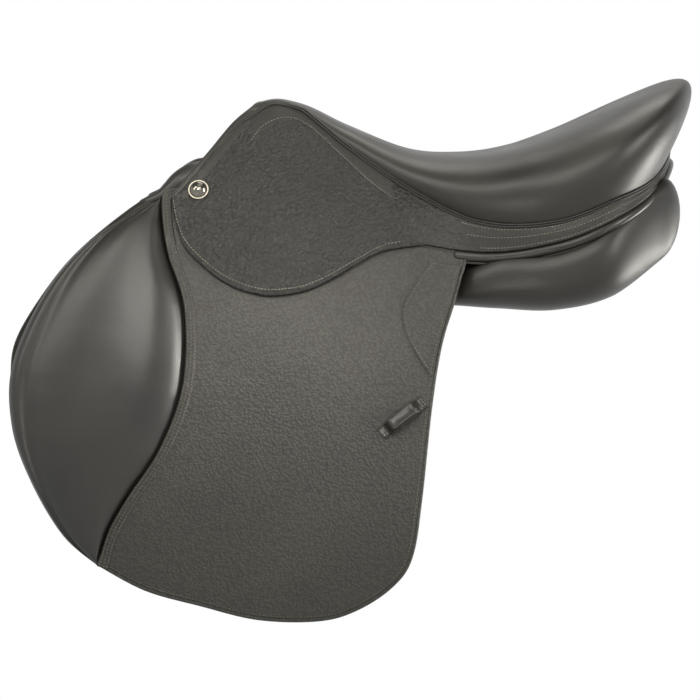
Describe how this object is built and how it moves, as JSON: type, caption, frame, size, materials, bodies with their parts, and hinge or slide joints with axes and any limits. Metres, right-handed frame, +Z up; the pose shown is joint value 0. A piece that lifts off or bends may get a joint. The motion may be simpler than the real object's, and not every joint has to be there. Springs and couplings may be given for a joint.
{
  "type": "jumping saddle",
  "caption": "Forward-cut jumping saddle with knee pads, lifting flaps and skirts, girth billets, stirrup bars with catches, padded seat and panels.",
  "frame": {"origin": "on the middle plane below the deepest point of the seat, level with the foot of the panels", "axes": "+X from pommel to cantle, +Y to the rider's right, +Z up"},
  "size_m": [0.6099, 0.3774, 0.4669],
  "materials": {
    "seat_leather": "smooth calf, satin",
    "knee_leather": "smooth calf, satin",
    "flap_leather": "pebbled grain, matt",
    "panel_leather": "smooth calf, satin",
    "trim_leather": "smooth, edge-dyed",
    "sweat_leather": "smooth, matt",
    "billet_leather": "waxed bridle leather",
    "web": "woven",
    "foam": "open-cell foam",
    "wood": "laminated, sealed",
    "tree_steel": "sheet",
    "bar_steel": "forged, polished",
    "nail_chrome": "polished"
  },
  "bodies": {
    "saddle": {"tree_frame": "wood", "tree_head": "wood", "tree_point_left": "tree_steel", "tree_point_right": "tree_steel", "head_plate": "tree_steel", "gullet_plate": "tree_steel", "spring_left": "tree_steel", "spring_right": "tree_steel", "tree_rivets": "bar_steel", "seat_webbing": "web", "seat_foam": "foam", "seat_cover": "seat_leather", "seat_welt": "trim_leather", "stirrup_bar_left": "bar_steel", "stirrup_bar_right": "bar_steel", "catch_pins": "bar_steel", "bar_rivets": "bar_steel", "skirt_yoke_left": "flap_leather", "skirt_yoke_right": "flap_leather", "sweat_flap_left": "sweat_leather", "sweat_flap_right": "sweat_leather", "panel_left": "panel_leather", "panel_right": "panel_leather", "panel_welt_left": "trim_leather", "panel_welt_right": "trim_leather", "gullet_lining": "panel_leather", "billet_web_left": "web", "billet_web_right": "web", "saddle_nail_left": "nail_chrome", "saddle_nail_right": "nail_chrome", "cantle_facing": "trim_leather", "pommel_facing": "trim_leather"},
    "flap_left": {"flap_left": "flap_leather", "knee_pad_left": "knee_leather", "flap_patch_left": "flap_leather", "keeper_left": "trim_leather"},
    "skirt_left": {"skirt_left": "flap_leather"},
    "bar_catch_left": {"bar_catch_left": "bar_steel"},
    "front_billet_left": {"front_billet_left": "billet_leather"},
    "middle_billet_left": {"middle_billet_left": "billet_leather"},
    "rear_billet_left": {"rear_billet_left": "billet_leather"},
    "flap_right": {"flap_right": "flap_leather", "knee_pad_right": "knee_leather", "flap_patch_right": "flap_leather", "keeper_right": "trim_leather"},
    "skirt_right": {"skirt_right": "flap_leather"},
    "bar_catch_right": {"bar_catch_right": "bar_steel"},
    "front_billet_right": {"front_billet_right": "billet_leather"},
    "middle_billet_right": {"middle_billet_right": "billet_leather"},
    "rear_billet_right": {"rear_billet_right": "billet_leather"}
  },
  "joints": [
    {"name": "flap_left_lift", "type": "hinge", "parent": "saddle", "child": "flap_left", "pos_m": [-0.11473, -0.09637, 0.07525], "axis": [-0.9758, 0.1323, 0.1744], "range_deg": [0, 65]},
    {"name": "skirt_left_lift", "type": "hinge", "parent": "flap_left", "child": "skirt_left", "pos_m": [-0.11473, -0.09637, 0.07525], "axis": [-0.9758, 0.1323, 0.1744], "range_deg": [0, 75]},
    {"name": "bar_catch_left_lift", "type": "hinge", "parent": "saddle", "child": "bar_catch_left", "pos_m": [-0.15185, -0.09124, 0.06291], "axis": [-0.0443, -0.8995, 0.4346], "range_deg": [0, 65]},
    {"name": "front_billet_left_swing", "type": "hinge", "parent": "saddle", "child": "front_billet_left", "pos_m": [-0.13253, -0.10514, 0.02816], "axis": [0.0529, 0.9157, -0.3984], "range_deg": [-2, 8]},
    {"name": "middle_billet_left_swing", "type": "hinge", "parent": "saddle", "child": "middle_billet_left", "pos_m": [-0.0896, -0.11096, 0.02049], "axis": [0.0529, 0.9157, -0.3984], "range_deg": [-2, 2]},
    {"name": "rear_billet_left_swing", "type": "hinge", "parent": "saddle", "child": "rear_billet_left", "pos_m": [-0.04667, -0.11678, 0.01282], "axis": [0.0529, 0.9157, -0.3984], "range_deg": [-8, 2]},
    {"name": "flap_right_lift", "type": "hinge", "parent": "saddle", "child": "flap_right", "pos_m": [-0.11473, 0.09637, 0.07525], "axis": [0.9758, 0.1323, -0.1744], "range_deg": [0, 65]},
    {"name": "skirt_right_lift", "type": "hinge", "parent": "flap_right", "child": "skirt_right", "pos_m": [-0.11473, 0.09637, 0.07525], "axis": [0.9758, 0.1323, -0.1744], "range_deg": [0, 75]},
    {"name": "bar_catch_right_lift", "type": "hinge", "parent": "saddle", "child": "bar_catch_right", "pos_m": [-0.15185, 0.09124, 0.06291], "axis": [0.0443, -0.8995, -0.4346], "range_deg": [0, 65]},
    {"name": "front_billet_right_swing", "type": "hinge", "parent": "saddle", "child": "front_billet_right", "pos_m": [-0.13253, 0.10514, 0.02816], "axis": [-0.0529, 0.9157, 0.3984], "range_deg": [-2, 8]},
    {"name": "middle_billet_right_swing", "type": "hinge", "parent": "saddle", "child": "middle_billet_right", "pos_m": [-0.0896, 0.11096, 0.02049], "axis": [-0.0529, 0.9157, 0.3984], "range_deg": [-2, 2]},
    {"name": "rear_billet_right_swing", "type": "hinge", "parent": "saddle", "child": "rear_billet_right", "pos_m": [-0.04667, 0.11678, 0.01282], "axis": [-0.0529, 0.9157, 0.3984], "range_deg": [-8, 2]}
  ]
}
